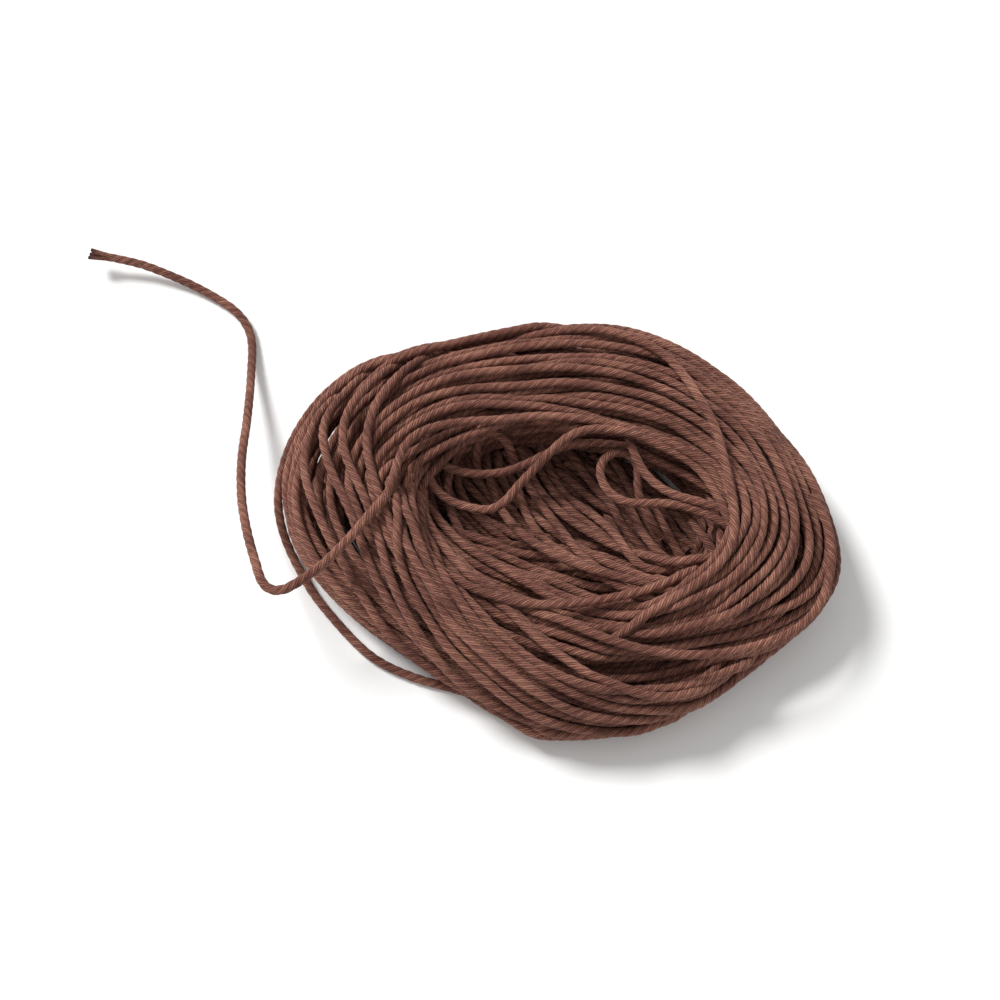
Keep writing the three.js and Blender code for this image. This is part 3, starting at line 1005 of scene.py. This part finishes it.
def settle(lines, held, rounds):
    """Moves the points of all lines until the lines lie a thread apart. held is how strongly each line
    keeps its place, one value for each of its points."""
    points = np.vstack(lines)
    home = points.copy()
    counts = [len(line) for line in lines]
    line_of = np.repeat(np.arange(len(lines)), counts)
    place_in = np.concatenate([np.arange(count) for count in counts])
    pull = np.concatenate(held)[:, None]
    give = 1.0 / (1.0 + HOLD_WEIGHT * pull[:, 0])
    inner = np.ones(len(points), bool)
    inner[place_in == 0] = False
    inner[np.append(place_in[1:] == 0, True)] = False
    for turn in range(rounds):
        if turn % PAIR_ROUNDS == 0:
            first, second = near_pairs(points, PAIR_REACH)
            close_in_line = np.abs(place_in[first] - place_in[second]) < OWN_REACH
            same = (line_of[first] == line_of[second]) & close_in_line
            first, second = first[~same], second[~same]
        ahead = np.zeros_like(points)
        ahead[1:-1] = points[2:] - points[:-2]
        ahead /= np.maximum(np.linalg.norm(ahead, axis=1, keepdims=True), 1e-9)
        gap = points[first] - points[second]
        slide = np.einsum("ij,ij->i", gap, ahead[second])
        across = gap - slide[:, None] * ahead[second]
        distance = np.maximum(np.linalg.norm(across, axis=1), 1e-6)
        weight = np.clip(1.0 - (np.abs(slide) - SIDE_BY_SIDE) / SIDE_FADE, 0.0, 1.0)
        push = np.clip(SPACING - distance, 0.0, None) * weight * PUSH_SHARE
        move = across / distance[:, None] * push[:, None]
        first_part = give[first] / (give[first] + give[second])
        shift = np.zeros_like(points)
        for axis in range(3):
            shift[:, axis] += np.bincount(first, move[:, axis] * 2 * first_part, len(points))
            shift[:, axis] -= np.bincount(second, move[:, axis] * 2 * (1 - first_part), len(points))
        points += np.clip(shift, -MOST_MOVE, MOST_MOVE)
        bend = np.zeros_like(points)
        bend[1:-1] = (points[2:] + points[:-2]) / 2 - points[1:-1]
        points[inner] += SMOOTHING * bend[inner]
        points += pull * (home - points)
        points[:, 2] = np.maximum(points[:, 2], THREAD / 2)
    left = np.clip(SPACING - distance[weight > 0.9], 0, None)
    deep = np.mean(left > DEEP_OVERLAP)
    print(f"settled {len(points)} points; {deep:.3f} of the near pairs overlap by over {DEEP_OVERLAP} mm")
    return np.split(points, np.cumsum(counts)[:-1])


# %% [markdown]
# The groups are held differently: the turns with a route of their own most, the hidden ones hardly at
# all. The end of the rim turn is held almost fast, because the free end goes on from there.

# %% Settle the whole nest
GROUP_HOLD = (0.03, 0.03, 0.05, 0.28, 0.01, 0.004)
RIM_END_HOLD = 0.95
RIM_END_POINTS = 5
SETTLE_ROUNDS = 160

groups = [outer_lines, slant_lines, sweep_lines, own_lines, low_lines, inner_lines]
flat = [line for group in groups for line in group]
hold = [np.full(len(line), value) for group, value in zip(groups, GROUP_HOLD) for line in group]
before_own = len(outer_lines) + len(slant_lines) + len(sweep_lines)
rim_hold = hold[before_own + rim_index]
to_exit = np.linalg.norm(rim_with_free_end - np.array(LOOSE_END_ROUTE[0]), axis=1)
rim_end = int(np.argmin(to_exit))
rim_hold[rim_end - RIM_END_POINTS:] = RIM_END_HOLD
flat = settle(flat, hold, SETTLE_ROUNDS)
settled = []
for group in groups:
    settled.append(flat[:len(group)])
    flat = flat[len(group):]
outer_lines, slant_lines, sweep_lines, own_lines, low_lines, inner_lines = settled

# %% [markdown]
# Handling has left the thread with small kinks, about two in each centimetre and a tenth of a millimetre
# or so deep. They could be bumps in the material, but a kink moves the whole thread, so the points move.
# Then the rim turn is cut where the free end starts, and its last few points are drawn to exactly that
# place.

# %% Kinks, and the end of the rim turn
KINK_LENGTH = 4.5
KINK_SIZE = 0.16
BLEND_POINTS = 4

for group in (outer_lines, slant_lines, sweep_lines, own_lines):
    for line in group:
        waves = len(line) * WORK_STEP / KINK_LENGTH
        line += np.column_stack([slow_noise(len(line), waves, KINK_SIZE) for _ in range(3)])
        line[:, 2] = np.maximum(line[:, 2], THREAD / 2)

rim_line = own_lines[rim_index][:rim_end + 1]
blend = np.clip(1 - np.arange(rim_end + 1)[::-1] / BLEND_POINTS, 0, 1)[:, None]
own_lines[rim_index] = rim_line + blend * (np.array(LOOSE_END_ROUTE[0]) - rim_line[-1])
print(f"the rim turn ends at {[round(float(c), 1) for c in own_lines[rim_index][-1]]}")

# %% [markdown]
# Now the lines become thread. Turns that show get points close together, so that their plies turn
# smoothly, and hidden ones get fewer, which saves triangles where nobody looks. The ribbon is shared out
# over four pieces, every fourth turn in each, to keep each piece to a size that other programs can open.

# %% Make the turns
LONG_LINE = 400
INSIDE_STEP = 0.7
LOW_STEP = 0.5
OUTER_PIECES = 4


def fine_lines(lines):
    """Lines ready to be made into thread; a long one is dense already, so it is rounded off only once."""
    return [smooth_line(line, FINE_STEP, CORNER_ROUNDS if len(line) < LONG_LINE else 1) for line in lines]


inside_lines = [smooth_line(line, FINE_STEP, rounds=1) for line in inner_lines]
add_thread_piece("turns_inside", inside_lines, "hidden", INSIDE_STEP, thread_brown)
add_thread_piece("turns_low", low_lines, "hidden", LOW_STEP, thread_brown)
for number in range(OUTER_PIECES):
    shared_out = fine_lines(outer_lines[number::OUTER_PIECES])
    add_thread_piece(f"turns_outer_{number + 1}", shared_out, "wound", FINE_STEP, thread_brown)
add_thread_piece("turns_slanting", fine_lines(slant_lines), "wound", FINE_STEP, thread_brown)
add_thread_piece("turns_sweeping", fine_lines(sweep_lines), "wound", FINE_STEP, thread_brown)
add_thread_piece("turns_apart", fine_lines(own_lines), "wound", FINE_STEP, thread_brown)

# %% [markdown]
# The hank lies on a plain pale sheet. A large floor plane is enough, because nothing of the room shows.
# One soft key light comes from the back left, low enough to throw the soft shadow of the free end to the
# front right, and a bright even surround fills the rest, as in a light tent.

# %% Floor and light
FLOOR_HALF = 0.6
FLOOR_COLOUR = (0.92, 0.92, 0.91, 1.0)
FLOOR_ROUGHNESS = 0.9
KEY_ELEVATION = math.radians(46.0)
KEY_HEADING = math.radians(-38.0)
KEY_STRENGTH = 3.2
KEY_SPREAD = math.radians(18.0)
SURROUND_STRENGTH = 0.58
WHITE = (1.0, 1.0, 1.0, 1.0)

floor_bm = bmesh.new()
bmesh.ops.create_grid(floor_bm, x_segments=1, y_segments=1, size=FLOOR_HALF)
floor_mesh = bpy.data.meshes.new("floor")
floor_bm.to_mesh(floor_mesh)
floor_bm.free()
floor = bpy.data.objects.new("floor", floor_mesh)
bpy.context.scene.collection.objects.link(floor)
floor_material = bpy.data.materials.new("floor_paper")
floor_material.use_nodes = True
floor_shader = floor_material.node_tree.nodes["Principled BSDF"]
floor_shader.inputs["Base Color"].default_value = FLOOR_COLOUR
floor_shader.inputs["Roughness"].default_value = FLOOR_ROUGHNESS
floor_mesh.materials.append(floor_material)

key_data = bpy.data.lights.new("key", "SUN")
key_data.energy = KEY_STRENGTH
key_data.angle = KEY_SPREAD
key = bpy.data.objects.new("key", key_data)
bpy.context.scene.collection.objects.link(key)
level = math.cos(KEY_ELEVATION)
travel = Vector((math.cos(KEY_HEADING) * level, math.sin(KEY_HEADING) * level, -math.sin(KEY_ELEVATION)))
key.rotation_euler = travel.to_track_quat("-Z", "Y").to_euler()

world = bpy.data.worlds.new("surround")
bpy.context.scene.world = world
world.use_nodes = True
surround = world.node_tree.nodes["Background"]
surround.inputs["Color"].default_value = WHITE
surround.inputs["Strength"].default_value = SURROUND_STRENGTH
bpy.context.scene.view_settings.view_transform = "Standard"
print("one key light, from", [round(-c, 2) for c in travel])

# %% [markdown]
# The outlines have done their work and are removed, so that only thread is left.

# %% Clear up
for outline in outlines.values():
    bpy.data.objects.remove(outline)
